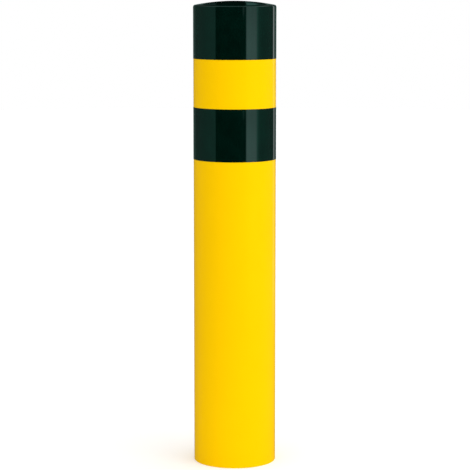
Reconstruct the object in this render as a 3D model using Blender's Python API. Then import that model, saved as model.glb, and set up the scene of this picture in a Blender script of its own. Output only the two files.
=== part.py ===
"""Steel bollard: a thick tube closed by a domed cap, with two black film bands near its top.

Metres, +Z up. The origin is the centre of the foot, on the floor that the tube stands on.
The front of the bollard faces -Y, and the lap in each film band is at the back.
"""

import math

import bmesh
import bpy
import numpy as np

# Tube: outer diameter, wall and length of the pipe, and how far its foot edges are broken
TUBE_DIAMETER = 0.2191
TUBE_WALL = 0.0063
TUBE_LENGTH = 1.2192
FOOT_CHAMFER = 0.001

# Cap: plate thickness, height of the crown above the rim, and radius of the ground rim edge
CAP_THICKNESS = 0.006
CAP_RISE = 0.0153
CAP_EDGE_RADIUS = 0.005

# Bands: height of a strip of film, how much of the upper one is trimmed off at the rim,
# where the cap's edge starts to curve, yellow left between them, and the film itself
BAND_HEIGHT = 0.138
RIM_TRIM = 0.002
BAND_SPACING = 0.128
FILM_THICKNESS = 0.00025
LAP_WIDTH = 0.012
LAP_CUT_WIDTH = 0.0002
LAP_DRAPE_WIDTH = 0.004

# Clearances: cap on the tube's end and inside its bore, and film round the tube
SEAT_CLEARANCE = 0.0003
FILM_CLEARANCE = 0.0003

# Steps: sides of every round form, then steps along the dome, its edge and its underside
SIDES = 128
DOME_STEPS = 10
EDGE_STEPS = 8
UNDERSIDE_STEPS = 5
MERGE_DISTANCE = 0.000001
SMOOTH_BELOW = math.radians(30)

# Sizes that follow from the ones above
TUBE_RADIUS = TUBE_DIAMETER / 2
BORE_RADIUS = TUBE_RADIUS - TUBE_WALL
CAP_SEAT_HEIGHT = TUBE_LENGTH + SEAT_CLEARANCE
CAP_SIDE_HEIGHT = CAP_THICKNESS - CAP_EDGE_RADIUS
RIM_HEIGHT = CAP_SEAT_HEIGHT + CAP_SIDE_HEIGHT
UPPER_BAND_HEIGHT = BAND_HEIGHT - RIM_TRIM
UPPER_BAND_FOOT = RIM_HEIGHT - UPPER_BAND_HEIGHT
LOWER_BAND_FOOT = UPPER_BAND_FOOT - BAND_SPACING - BAND_HEIGHT
FILM_INNER_RADIUS = TUBE_RADIUS + FILM_CLEARANCE
FILM_OUTER_RADIUS = FILM_INNER_RADIUS + FILM_THICKNESS
BACK = math.pi / 2


def clear_scene():
    for old in list(bpy.data.objects):
        bpy.data.objects.remove(old, do_unlink=True)


def coating(name, colour, roughness, coat):
    """A painted or plastic surface, with a clear gloss layer of the given weight."""
    material = bpy.data.materials.new(name)
    material.use_nodes = True
    shader = material.node_tree.nodes["Principled BSDF"]
    shader.inputs["Base Color"].default_value = (*colour, 1)
    shader.inputs["Roughness"].default_value = roughness
    shader.inputs["Metallic"].default_value = 0
    shader.inputs["Coat Weight"].default_value = coat
    material.diffuse_color = (*colour, 1)
    return material


def yellow_powder_coat():
    return coating("yellow_powder_coat", colour=(0.95, 0.6, 0.004), roughness=0.35, coat=0)


def black_enamel():
    return coating("black_enamel", colour=(0.003, 0.007, 0.005), roughness=0.15, coat=0.3)


def black_film():
    return coating("black_film", colour=(0.002, 0.006, 0.004), roughness=0.08, coat=0)


def arc(centre, radius, start, end, steps):
    """Points along an arc in the (radius, height) plane, with both ends."""
    angles = np.linspace(start, end, steps + 1)
    return [
        (centre[0] + radius * math.cos(angle), centre[1] + radius * math.sin(angle))
        for angle in angles
    ]


def finished(name, shape, material):
    """The mesh of a bmesh, with outward faces, smooth round sides and crisp edges."""
    bmesh.ops.recalc_face_normals(shape, faces=shape.faces)
    mesh = bpy.data.meshes.new(name)
    shape.to_mesh(mesh)
    shape.free()
    mesh.shade_smooth()
    mesh.set_sharp_from_angle(angle=SMOOTH_BELOW)
    mesh.materials.append(material)
    return mesh


def turned(name, section, material, closed):
    """A section of (radius, height) points turned about Z. An open one ends on the axis."""
    shape = bmesh.new()
    points = [shape.verts.new((radius, 0, height)) for radius, height in section]
    followers = points[1:] + points[:1] if closed else points[1:]
    edges = [shape.edges.new(pair) for pair in zip(points, followers)]
    bmesh.ops.spin(
        shape,
        geom=points + edges,
        cent=(0, 0, 0),
        axis=(0, 0, 1),
        angle=math.tau,
        steps=SIDES,
        use_merge=True,
    )
    bmesh.ops.remove_doubles(shape, verts=shape.verts, dist=MERGE_DISTANCE)
    return finished(name, shape, material)


def placed(name, mesh, height, parent):
    """An object of this mesh, with its origin on the axis at this height."""
    item = bpy.data.objects.new(name, mesh)
    item.location = (0, 0, height)
    item.parent = parent
    bpy.context.scene.collection.objects.link(item)
    return item


def tube_mesh():
    """The pipe, cut square at its top and with the edges of its foot broken."""
    section = [
        (TUBE_RADIUS, TUBE_LENGTH),
        (TUBE_RADIUS, FOOT_CHAMFER),
        (TUBE_RADIUS - FOOT_CHAMFER, 0),
        (BORE_RADIUS + FOOT_CHAMFER, 0),
        (BORE_RADIUS, FOOT_CHAMFER),
        (BORE_RADIUS, TUBE_LENGTH),
    ]
    return turned("post_tube", section, yellow_powder_coat(), closed=True)


def cap_mesh():
    """The dished plate, from its crown down the side, then in under its seat to the axis.

    Heights are above the seat. The ground edge is an arc that runs into both the straight
    side and the sphere of the crown, and the underside of the dish follows that sphere.
    """
    crown = CAP_SIDE_HEIGHT + CAP_RISE
    edge_centre = (TUBE_RADIUS - CAP_EDGE_RADIUS, CAP_SIDE_HEIGHT)
    sphere_radius = (edge_centre[0] ** 2 + CAP_RISE**2 - CAP_EDGE_RADIUS**2) / (
        2 * (CAP_RISE - CAP_EDGE_RADIUS)
    )
    sphere_centre = (0, crown - sphere_radius)
    edge_angle = math.atan2(edge_centre[1] - sphere_centre[1], edge_centre[0])

    land_radius = BORE_RADIUS - SEAT_CLEARANCE
    underside_radius = sphere_radius - CAP_THICKNESS
    underside_angle = math.acos(land_radius / underside_radius)

    dome = arc(sphere_centre, sphere_radius, math.pi / 2, edge_angle, DOME_STEPS)
    edge = arc(edge_centre, CAP_EDGE_RADIUS, edge_angle, 0, EDGE_STEPS)
    seat = [(TUBE_RADIUS, 0), (land_radius, 0)]
    underside = arc(
        sphere_centre, underside_radius, underside_angle, math.pi / 2, UNDERSIDE_STEPS
    )
    section = dome + edge[1:] + seat + underside
    return turned("domed_cap", section, black_enamel(), closed=False)


def film_rise(turn):
    """How far the film stands out at this angle, where its end lies over its start."""
    past_cut = (turn - BACK) * FILM_OUTER_RADIUS + LAP_WIDTH / 2
    return np.interp(
        past_cut,
        [0, LAP_CUT_WIDTH, LAP_WIDTH, LAP_WIDTH + LAP_DRAPE_WIDTH],
        [0, FILM_THICKNESS, FILM_THICKNESS, 0],
    )


def band_mesh(name, height, material):
    """A strip of film wrapped once round the tube, with its two ends lapped at the back."""
    lap_stations = [
        BACK + (distance - LAP_WIDTH / 2) / FILM_OUTER_RADIUS
        for distance in (0, LAP_CUT_WIDTH, LAP_WIDTH, LAP_WIDTH + LAP_DRAPE_WIDTH)
    ]
    round_stations = [math.tau * side / SIDES for side in range(SIDES)]
    shape = bmesh.new()
    sections = []
    for turn in sorted(round_stations + lap_stations):
        outer = FILM_OUTER_RADIUS + film_rise(turn)
        corners = [
            (FILM_INNER_RADIUS, 0),
            (outer, 0),
            (outer, height),
            (FILM_INNER_RADIUS, height),
        ]
        sections.append(
            [
                shape.verts.new((radius * math.cos(turn), radius * math.sin(turn), rise))
                for radius, rise in corners
            ]
        )
    for here, following in zip(sections, sections[1:] + sections[:1]):
        for corner in range(4):
            beside = (corner + 1) % 4
            shape.faces.new((here[corner], here[beside], following[beside], following[corner]))
    return finished(name, shape, material)


def build():
    clear_scene()
    bollard = bpy.data.objects.new("bollard", None)
    bpy.context.scene.collection.objects.link(bollard)
    placed("post_tube", tube_mesh(), 0, bollard)
    placed("domed_cap", cap_mesh(), CAP_SEAT_HEIGHT, bollard)
    film = black_film()
    for name, height, foot in (
        ("upper_black_band", UPPER_BAND_HEIGHT, UPPER_BAND_FOOT),
        ("lower_black_band", BAND_HEIGHT, LOWER_BAND_FOOT),
    ):
        placed(name, band_mesh(name, height, film), foot, bollard)


build()
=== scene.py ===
"""Looks of the steel bollard: finishes, studio and camera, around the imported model."""

import math

import bmesh
import bpy
import numpy as np
from mathutils import Matrix, Vector


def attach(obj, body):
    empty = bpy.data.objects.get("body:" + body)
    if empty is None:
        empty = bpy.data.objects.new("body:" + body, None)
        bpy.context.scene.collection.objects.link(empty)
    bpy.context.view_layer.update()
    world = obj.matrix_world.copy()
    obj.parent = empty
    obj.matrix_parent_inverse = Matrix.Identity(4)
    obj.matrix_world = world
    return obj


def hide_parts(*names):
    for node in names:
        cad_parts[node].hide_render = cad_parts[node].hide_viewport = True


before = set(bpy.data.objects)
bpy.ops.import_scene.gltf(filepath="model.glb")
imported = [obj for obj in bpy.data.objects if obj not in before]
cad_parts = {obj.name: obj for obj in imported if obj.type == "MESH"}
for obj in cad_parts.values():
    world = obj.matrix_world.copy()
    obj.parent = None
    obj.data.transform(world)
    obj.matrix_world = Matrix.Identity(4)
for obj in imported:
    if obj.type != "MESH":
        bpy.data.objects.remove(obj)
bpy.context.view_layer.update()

# Camera: on the front side, a little above the rim, looking down at the middle of the post
CAMERA_PLACE = (0.0007, -4.9, 1.2822)
CAMERA_PITCH = math.radians(7.776)
CAMERA_LENS = 141.4
CAMERA_CLIP = (0.1, 200)

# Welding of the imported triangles, and the angle above which an edge stays crisp
WELD_DISTANCE = 0.000002
FLAT_WITHIN = math.radians(1)
SMOOTH_BELOW = math.radians(30)

# Yellow powder coat: its two shades and its sheen, its gloss, the fine orange peel in it, and
# the slight wave of the rolled pipe under it
YELLOW = (0.985, 0.585, 0.0006)
YELLOW_DEEP = (0.98, 0.575, 0.0005)
YELLOW_SHEEN = (1.0, 0.85, 0.03)
SHADE_SCALE = 9
COAT_SPECULAR = 0.08
COAT_ROUGHNESS = (0.14, 0.18)
COAT_ROUGHNESS_SCALE = 60
PEEL_SCALE = 420
PEEL_HEIGHT = 0.00003
ROLL_SCALE = 14
ROLL_STRETCH = (1, 1, 0.35)
ROLL_HEIGHT = 0.0001

# Bare steel inside the tube, patched with mill scale. The coat takes over from it between
# these distances outside the bore.
STEEL = (0.16, 0.15, 0.14)
SCALE_BLUE = (0.05, 0.055, 0.065)
STEEL_ROUGHNESS = 0.55
PATCH_SCALE = 22
PATCH_RANGE = (0.4, 0.62)
COAT_START = (0.0002, 0.0006)

# Black film and enamel: colour, how much lighter it gets in its clouds, sheen and gloss, then
# how much the surface waves and how fine its peel is
BLACK_FILM = (0.0002, 0.0051, 0.0032)
BLACK_ENAMEL = (0.0003, 0.0051, 0.0034)
BLACK_LIFT = 1.6
BLACK_SHEEN = (0.55, 1.0, 0.9)
BLACK_CLOUD_SCALE = 30
BLACK_ROUGHNESS_SCALE = 80
BLACK_WAVE_SCALE = 18
BLACK_WAVE_STRETCH = (1, 1, 0.4)
BLACK_PEEL_SCALE = 500
FILM_ROUGHNESS = (0.04, 0.07)
FILM_WAVE = 0.00008
FILM_PEEL = 0.000003
ENAMEL_ROUGHNESS = (0.05, 0.08)
ENAMEL_WAVE = 0.00003
ENAMEL_PEEL = 0.0000015

# Refractive index of every coat
COAT_INDEX = 1.5

# Studio: cards that only gloss reflects. Their rows are height, radius, how far the azimuths
# fan out from straight behind, and gain. Their levels are azimuth and brightness.
WHITE = (1, 1, 1)
BEHIND = 180
CARD_SLICES = 1440
WALL_RADIUS = 2.2
WALL_TOP = 1.95

# The wall gives the black its dark middle and, right of it, its light panel
WALL_ROWS = (
    (0, WALL_RADIUS, 1, 1.09),
    (0.67, WALL_RADIUS, 1, 1.09),
    (0.79, WALL_RADIUS, 1, 0.85),
    (0.95, WALL_RADIUS, 1, 1.07),
    (1.05, WALL_RADIUS, 1, 1.06),
    (1.19, WALL_RADIUS, 1, 0.78),
    (WALL_TOP, WALL_RADIUS, 1, 0.78),
)
WALL_LEVELS = (
    (-52.7, 0),
    (29.5, 0),
    (32.5, 1.33),
    (40, 1.37),
    (46, 1.27),
    (56, 1.24),
    (59, 1.15),
    (62, 0.95),
)

# The stand gives the short thin line beside the panel at the top of each band
STAND_RADIUS = 2.12
STAND_ROWS = (
    (0.785, STAND_RADIUS, 1, 0.6),
    (0.86, STAND_RADIUS, 1, 0.6),
    (0.861, STAND_RADIUS, 1, 0),
    (1.164, STAND_RADIUS, 1, 0),
    (1.165, STAND_RADIUS, 1, 1),
    (1.5, STAND_RADIUS, 1, 1),
)
STAND_LEVELS = ((21.2, 0.3), (26, 0.3))

# The rear closes the ring round the back, where the sides of the post reflect it
REAR_TINT = (0.6, 1.0, 0.88)
REAR_ROWS = ((0, WALL_RADIUS, 1, 1), (WALL_TOP, WALL_RADIUS, 1, 1))
REAR_LEVELS = (
    (62, 0.88),
    (64, 0.68),
    (67.5, 0.4),
    (71, 0.29),
    (80, 0.225),
    (92, 0.2),
    (110, 0.155),
    (121, 0.1),
    (131, 0.1),
    (140, 0.15),
    (180, 0.15),
    (220, 0.12),
    (229, 0.09),
    (252, 0.18),
    (270, 0.24),
    (288, 0.31),
    (306.8, 0.335),
    (307.3, 0),
)

# The strip gives the bright line near the right edge
STRIP_RADIUS = 2.15
STRIP_ROWS = (
    (0, STRIP_RADIUS, 0.935, 0.92),
    (0.83, STRIP_RADIUS, 0.935, 0.92),
    (1, STRIP_RADIUS, 1.02, 1.14),
    (1.45, STRIP_RADIUS, 1.02, 1.14),
    (WALL_TOP, STRIP_RADIUS, 1.02, 0.12),
)
STRIP_LEVELS = ((130, 0.1), (132, 1), (138, 1), (140.5, 0.1))

# The sky stands on top of the ring, and gives the cap's edge its light line
SKY_ROWS = ((WALL_TOP, WALL_RADIUS, 1, 1), (3.2, WALL_RADIUS, 1, 1))
SKY_LEVELS = (
    (-180, 0.02),
    (-130, 0.15),
    (-112, 0.38),
    (-86, 0.75),
    (-60, 1.2),
    (60, 1.2),
    (90, 1.5),
    (117, 0.5),
    (135, 0.15),
    (180, 0.02),
)

# The back stands straight behind, bends over the post and fans out, and gives the dome its
# light and dark parts
BACK_TINT = (0.43, 1.0, 0.88)
BACK_RADIUS = 2.1
BACK_TOP = 3.18
BACK_ROWS = (
    (0.9, BACK_RADIUS, 1, 0.35),
    (1.24, BACK_RADIUS, 1, 0.35),
    (1.7, BACK_RADIUS, 2.565, 0.35),
    (1.9, BACK_RADIUS, 3.245, 1),
    (BACK_TOP, BACK_RADIUS, 7.6, 1),
    (BACK_TOP, 1.8, 11.5, 1.35),
    (BACK_TOP, 1.5, 17, 1.8),
    (BACK_TOP, 1.2, 24, 2.3),
    (BACK_TOP, 0.9, 33, 2.4),
    (BACK_TOP, 0.5, 45, 0),
)
BACK_LEVELS = (
    (177.8, 0.045),
    (178.5, 0.045),
    (178.75, 0.155),
    (179.28, 0.155),
    (179.33, 0.001),
    (181.14, 0.001),
    (181.2, 0.038),
    (182.2, 0.038),
)

# The ring's lid and its ground, both level
TOP_HEIGHT = 3.2
TOP_LEVEL = 0.03
GROUND_HEIGHT = 0.002
GROUND_LEVEL = 0.1

# Studio: daylight level on the far side and on the near side of its azimuth, and floor
AMBIENT = (0.46, 1.47)
AMBIENT_AZIMUTH = 50
FLOOR_RADIUS = 14
FLOOR_COLOUR = 0.9
FLOOR_ROUGHNESS = 0.9
FLOOR_GLOW = 0.23
ROUND_SIDES = 96

# Studio: a tall key lamp on the right, and a low lamp that keeps the foot as bright as the
# rest. A lamp's place is its azimuth, its distance from the axis and its height.
KEY_PLACE = (50, 3.0, 0.8)
KEY_SIZE = (1.6, 1.8)
KEY_POWER = 12
FOOT_PLACE = (-25, 0.38, 0.04)
FOOT_SIZE = (0.6, 0.06)
FOOT_POWER = 0.05


def bearing(azimuth, distance, height):
    """A point at this azimuth in degrees, 0 towards the camera and 90 to its right."""
    turn = math.radians(azimuth)
    return Vector((math.sin(turn) * distance, -math.cos(turn) * distance, height))


def colour_socket(sockets, name):
    """The one for colours, of the sockets that share this name on a mix node."""
    return next(socket for socket in sockets if (socket.name, socket.type) == (name, "RGBA"))


class Nodes:
    """The node tree of a material or a world, with short calls to add and join nodes."""

    def __init__(self, owner):
        owner.use_nodes = True
        self.owner = owner
        self.tree = owner.node_tree
        self.shader = self.tree.nodes.get("Principled BSDF")

    def add(self, kind, **settings):
        node = self.tree.nodes.new(kind)
        for name, value in settings.items():
            setattr(node, name, value)
        return node

    def join(self, source, target):
        self.tree.links.new(source, target)

    def place(self):
        """The point in the object's own space."""
        return self.add("ShaderNodeTexCoord").outputs["Object"]

    def stretched(self, vector, scale):
        node = self.add("ShaderNodeMapping")
        node.inputs["Scale"].default_value = scale
        self.join(vector, node.inputs["Vector"])
        return node.outputs["Vector"]

    def noise(self, vector, scale, detail, roughness=0.5):
        node = self.add("ShaderNodeTexNoise")
        node.inputs["Scale"].default_value = scale
        node.inputs["Detail"].default_value = detail
        node.inputs["Roughness"].default_value = roughness
        self.join(vector, node.inputs["Vector"])
        return node.outputs["Fac"]

    def spread(self, value, low, high, start=0.3, end=0.7):
        """A value spread over a range. What noise gives lies mostly from 0.3 to 0.7."""
        node = self.add("ShaderNodeMapRange")
        node.inputs["From Min"].default_value = start
        node.inputs["From Max"].default_value = end
        node.inputs["To Min"].default_value = low
        node.inputs["To Max"].default_value = high
        self.join(value, node.inputs["Value"])
        return node.outputs["Result"]

    def scaled(self, value, factor):
        node = self.add("ShaderNodeMath", operation="MULTIPLY")
        self.join(value, node.inputs[0])
        node.inputs[1].default_value = factor
        return node.outputs["Value"]

    def between(self, factor, first, second):
        """A value between a socket's and a fixed one."""
        node = self.add("ShaderNodeMix", data_type="FLOAT")
        self.join(factor, node.inputs["Factor"])
        self.join(first, node.inputs["A"])
        node.inputs["B"].default_value = second
        return node.outputs["Result"]

    def blend(self, factor, first, second):
        """A colour between two, each a colour or a socket."""
        node = self.add("ShaderNodeMix", data_type="RGBA")
        self.join(factor, node.inputs["Factor"])
        for name, value in (("A", first), ("B", second)):
            socket = colour_socket(node.inputs, name)
            if isinstance(value, tuple):
                socket.default_value = (*value, 1)
            else:
                self.join(value, socket)
        return colour_socket(node.outputs, "Result")

    def bump(self, height, distance, below=None):
        node = self.add("ShaderNodeBump")
        node.inputs["Distance"].default_value = distance
        node.inputs["Strength"].default_value = 1
        self.join(height, node.inputs["Height"])
        if below is not None:
            self.join(below, node.inputs["Normal"])
        return node.outputs["Normal"]

    def set(self, **values):
        for name, value in values.items():
            self.shader.inputs[name.replace("_", " ")].default_value = value


def new_material(name):
    return Nodes(bpy.data.materials.new(name))


def powder_coat(bore):
    """Glossy yellow with fine orange peel over a rolled pipe, and bare steel in the bore."""
    nodes = new_material("yellow_powder_coat")
    place = nodes.place()
    shade = nodes.spread(nodes.noise(place, SHADE_SCALE, detail=3), 0, 1)
    yellow = nodes.blend(shade, YELLOW, YELLOW_DEEP)
    inside = inside_mask(nodes, place, bore)
    colour = nodes.blend(inside, yellow, mill_scale(nodes, place))
    nodes.join(colour, nodes.shader.inputs["Base Color"])
    coat = nodes.spread(nodes.noise(place, COAT_ROUGHNESS_SCALE, detail=4), *COAT_ROUGHNESS)
    nodes.join(nodes.between(inside, coat, STEEL_ROUGHNESS), nodes.shader.inputs["Roughness"])
    rolled = nodes.noise(nodes.stretched(place, ROLL_STRETCH), ROLL_SCALE, detail=2)
    wave = nodes.bump(rolled, ROLL_HEIGHT)
    peel = nodes.bump(nodes.noise(place, PEEL_SCALE, detail=2), PEEL_HEIGHT, wave)
    nodes.join(peel, nodes.shader.inputs["Normal"])
    nodes.set(IOR=COAT_INDEX, Specular_IOR_Level=COAT_SPECULAR, Specular_Tint=(*YELLOW_SHEEN, 1))
    return nodes.owner


def inside_mask(nodes, place, bore):
    """1 on the wall of the bore, of this radius, and 0 on the outside of the tube."""
    apart = nodes.add("ShaderNodeSeparateXYZ")
    nodes.join(place, apart.inputs["Vector"])
    flat = nodes.add("ShaderNodeCombineXYZ")
    nodes.join(apart.outputs["X"], flat.inputs["X"])
    nodes.join(apart.outputs["Y"], flat.inputs["Y"])
    length = nodes.add("ShaderNodeVectorMath", operation="LENGTH")
    nodes.join(flat.outputs["Vector"], length.inputs[0])
    start, end = (bore + margin for margin in COAT_START)
    return nodes.spread(length.outputs["Value"], 1, 0, start, end)


def mill_scale(nodes, place):
    patches = nodes.noise(place, PATCH_SCALE, detail=6, roughness=0.6)
    return nodes.blend(nodes.spread(patches, 0, 1, *PATCH_RANGE), STEEL, SCALE_BLUE)


def gloss_black(name, colour, roughness, waviness, peel):
    """Deep black under a clear gloss, with a slight wave in what it reflects."""
    nodes = new_material(name)
    place = nodes.place()
    lighter = tuple(channel * BLACK_LIFT for channel in colour)
    clouds = nodes.spread(nodes.noise(place, BLACK_CLOUD_SCALE, detail=4), 0, 1)
    nodes.join(nodes.blend(clouds, colour, lighter), nodes.shader.inputs["Base Color"])
    gloss = nodes.spread(nodes.noise(place, BLACK_ROUGHNESS_SCALE, detail=3), *roughness)
    nodes.join(gloss, nodes.shader.inputs["Roughness"])
    waves = nodes.noise(nodes.stretched(place, BLACK_WAVE_STRETCH), BLACK_WAVE_SCALE, detail=1)
    wave = nodes.bump(waves, waviness)
    fine = nodes.bump(nodes.noise(place, BLACK_PEEL_SCALE, detail=2), peel, wave)
    nodes.join(fine, nodes.shader.inputs["Normal"])
    nodes.set(IOR=COAT_INDEX, Specular_Tint=(*BLACK_SHEEN, 1))
    return nodes.owner


def bore_radius():
    """Radius of the hollow in the tube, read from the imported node."""
    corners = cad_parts["post_tube"].data.vertices
    return min(math.hypot(corner.co.x, corner.co.y) for corner in corners)


def stand_in(name, node, material):
    """A welded, smooth-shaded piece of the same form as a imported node, which it replaces."""
    shape = bmesh.new()
    shape.from_mesh(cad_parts[node].data)
    bmesh.ops.remove_doubles(shape, verts=shape.verts, dist=WELD_DISTANCE)
    bmesh.ops.join_triangles(
        shape,
        faces=shape.faces,
        angle_face_threshold=FLAT_WITHIN,
        angle_shape_threshold=math.pi,
    )
    bmesh.ops.recalc_face_normals(shape, faces=shape.faces)
    mesh = bpy.data.meshes.new(name)
    shape.to_mesh(mesh)
    shape.free()
    mesh.shade_smooth()
    mesh.set_sharp_from_angle(angle=SMOOTH_BELOW)
    mesh.materials.append(material)
    piece = bpy.data.objects.new(name, mesh)
    bpy.context.scene.collection.objects.link(piece)
    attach(piece, "root")
    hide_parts(node)


def make_pieces():
    film = gloss_black("black_film", BLACK_FILM, FILM_ROUGHNESS, FILM_WAVE, FILM_PEEL)
    enamel = gloss_black(
        "black_enamel", BLACK_ENAMEL, ENAMEL_ROUGHNESS, ENAMEL_WAVE, ENAMEL_PEEL
    )
    stand_in("coated_tube", "post_tube", powder_coat(bore_radius()))
    stand_in("enamelled_cap", "domed_cap", enamel)
    stand_in("upper_film", "upper_black_band", film)
    stand_in("lower_film", "lower_black_band", film)


def background_factor(nodes):
    """1 for rays that see the background: the camera's, and those in gloss or glass."""
    light = nodes.add("ShaderNodeLightPath")
    total = light.outputs["Is Camera Ray"]
    for kind in ("Is Glossy Ray", "Is Transmission Ray"):
        both = nodes.add("ShaderNodeMath", operation="MAXIMUM")
        nodes.join(total, both.inputs[0])
        nodes.join(light.outputs[kind], both.inputs[1])
        total = both.outputs["Value"]
    return total


def make_world():
    """White where it is seen, and a soft level, fading away from its bright side, as light."""
    nodes = Nodes(bpy.data.worlds.new("studio"))
    bpy.context.scene.world = nodes.owner
    towards = nodes.add("ShaderNodeVectorMath", operation="DOT_PRODUCT")
    nodes.join(nodes.add("ShaderNodeTexCoord").outputs["Generated"], towards.inputs[0])
    towards.inputs[1].default_value = bearing(AMBIENT_AZIMUTH, 1, 0)
    ambient = nodes.spread(towards.outputs["Value"], *AMBIENT, start=-1, end=1)
    background = nodes.tree.nodes["Background"]
    background.inputs["Color"].default_value = (*WHITE, 1)
    nodes.join(nodes.between(background_factor(nodes), ambient, 1), background.inputs["Strength"])


def make_floor():
    """A pale round floor that looks white and keeps the soft shadow of the post."""
    bpy.ops.mesh.primitive_circle_add(
        vertices=ROUND_SIDES, radius=FLOOR_RADIUS, fill_type="NGON"
    )
    floor = bpy.context.object
    floor.name = "floor"
    nodes = new_material("floor")
    colour = (FLOOR_COLOUR, FLOOR_COLOUR, FLOOR_COLOUR, 1)
    nodes.set(Base_Color=colour, Roughness=FLOOR_ROUGHNESS, Specular_IOR_Level=0)
    glow = nodes.add("ShaderNodeEmission")
    nodes.join(nodes.scaled(background_factor(nodes), FLOOR_GLOW), glow.inputs["Strength"])
    both = nodes.add("ShaderNodeAddShader")
    nodes.join(nodes.shader.outputs["BSDF"], both.inputs[0])
    nodes.join(glow.outputs["Emission"], both.inputs[1])
    nodes.join(both.outputs["Shader"], nodes.tree.nodes["Material Output"].inputs["Surface"])
    floor.data.materials.append(nodes.owner)


def curved_card(name, rows, levels, tint=WHITE):
    """An upright card bent round the post, as bright at each azimuth as its levels say."""
    azimuths, brightness = zip(*levels)
    turns = np.linspace(azimuths[0], azimuths[-1], CARD_SLICES + 1)
    shape = bmesh.new()
    slices = [
        [
            shape.verts.new(bearing(BEHIND + (turn - BEHIND) * fan, radius, height))
            for height, radius, fan, _ in rows
        ]
        for turn in turns
    ]
    for here, following in zip(slices, slices[1:]):
        for low in range(len(rows) - 1):
            high = low + 1
            shape.faces.new((here[low], following[low], following[high], here[high]))
    gains = [gain for *_, gain in rows]
    corners = np.outer(np.interp(turns, azimuths, brightness), gains).ravel()
    add_card(name, shape, corners, tint)


def flat_card(name, height, level):
    """A round level card, white and as wide as the ring of upright ones."""
    shape = bmesh.new()
    bmesh.ops.create_circle(
        shape,
        cap_ends=True,
        radius=WALL_RADIUS,
        segments=ROUND_SIDES,
        matrix=Matrix.Translation((0, 0, height)),
    )
    add_card(name, shape, np.full(len(shape.verts), level), WHITE)


def add_card(name, shape, brightness, tint):
    """A card of this shape, glowing as its corners say, and seen by gloss alone."""
    mesh = bpy.data.meshes.new(name)
    shape.to_mesh(mesh)
    shape.free()
    glow = mesh.attributes.new("brightness", "FLOAT", "POINT")
    glow.data.foreach_set("value", brightness.astype(np.float32))
    mesh.materials.append(card_material(name, tint))
    card = bpy.data.objects.new(name, mesh)
    card.visible_camera = False
    card.visible_diffuse = False
    card.visible_shadow = False
    bpy.context.scene.collection.objects.link(card)


def card_material(name, tint):
    nodes = new_material(name)
    glow = nodes.add("ShaderNodeEmission")
    glow.inputs["Color"].default_value = (*tint, 1)
    read = nodes.add("ShaderNodeAttribute", attribute_name="brightness")
    nodes.join(read.outputs["Fac"], glow.inputs["Strength"])
    nodes.join(glow.outputs["Emission"], nodes.tree.nodes["Material Output"].inputs["Surface"])
    return nodes.owner


def make_cards():
    curved_card("wall_card", WALL_ROWS, WALL_LEVELS)
    curved_card("stand_card", STAND_ROWS, STAND_LEVELS)
    curved_card("rear_card", REAR_ROWS, REAR_LEVELS, REAR_TINT)
    curved_card("strip_card", STRIP_ROWS, STRIP_LEVELS)
    curved_card("sky_card", SKY_ROWS, SKY_LEVELS)
    curved_card("back_card", BACK_ROWS, BACK_LEVELS, BACK_TINT)
    flat_card("top_card", TOP_HEIGHT, TOP_LEVEL)
    flat_card("ground_card", GROUND_HEIGHT, GROUND_LEVEL)


def soft_box(name, place, size, power):
    """An upright lamp that faces the post, and that neither the camera nor gloss sees."""
    azimuth, distance, height = place
    light = bpy.data.lights.new(name, "AREA")
    light.shape = "RECTANGLE"
    light.size, light.size_y = size
    light.energy = power
    lamp = bpy.data.objects.new(name, light)
    lamp.location = bearing(azimuth, distance, height)
    lamp.rotation_euler = (math.pi / 2, 0, math.radians(azimuth))
    lamp.visible_camera = False
    lamp.visible_glossy = False
    bpy.context.scene.collection.objects.link(lamp)


def make_lamps():
    soft_box("key_lamp", KEY_PLACE, KEY_SIZE, KEY_POWER)
    soft_box("foot_lamp", FOOT_PLACE, FOOT_SIZE, FOOT_POWER)


def make_camera():
    data = bpy.data.cameras.new("camera")
    data.lens = CAMERA_LENS
    data.clip_start, data.clip_end = CAMERA_CLIP
    camera = bpy.data.objects.new("camera", data)
    camera.location = CAMERA_PLACE
    camera.rotation_euler = (math.pi / 2 - CAMERA_PITCH, 0, 0)
    bpy.context.scene.collection.objects.link(camera)
    bpy.context.scene.camera = camera


make_pieces()
make_world()
make_floor()
make_cards()
make_lamps()
make_camera()
bpy.context.scene.view_settings.view_transform = "Standard"
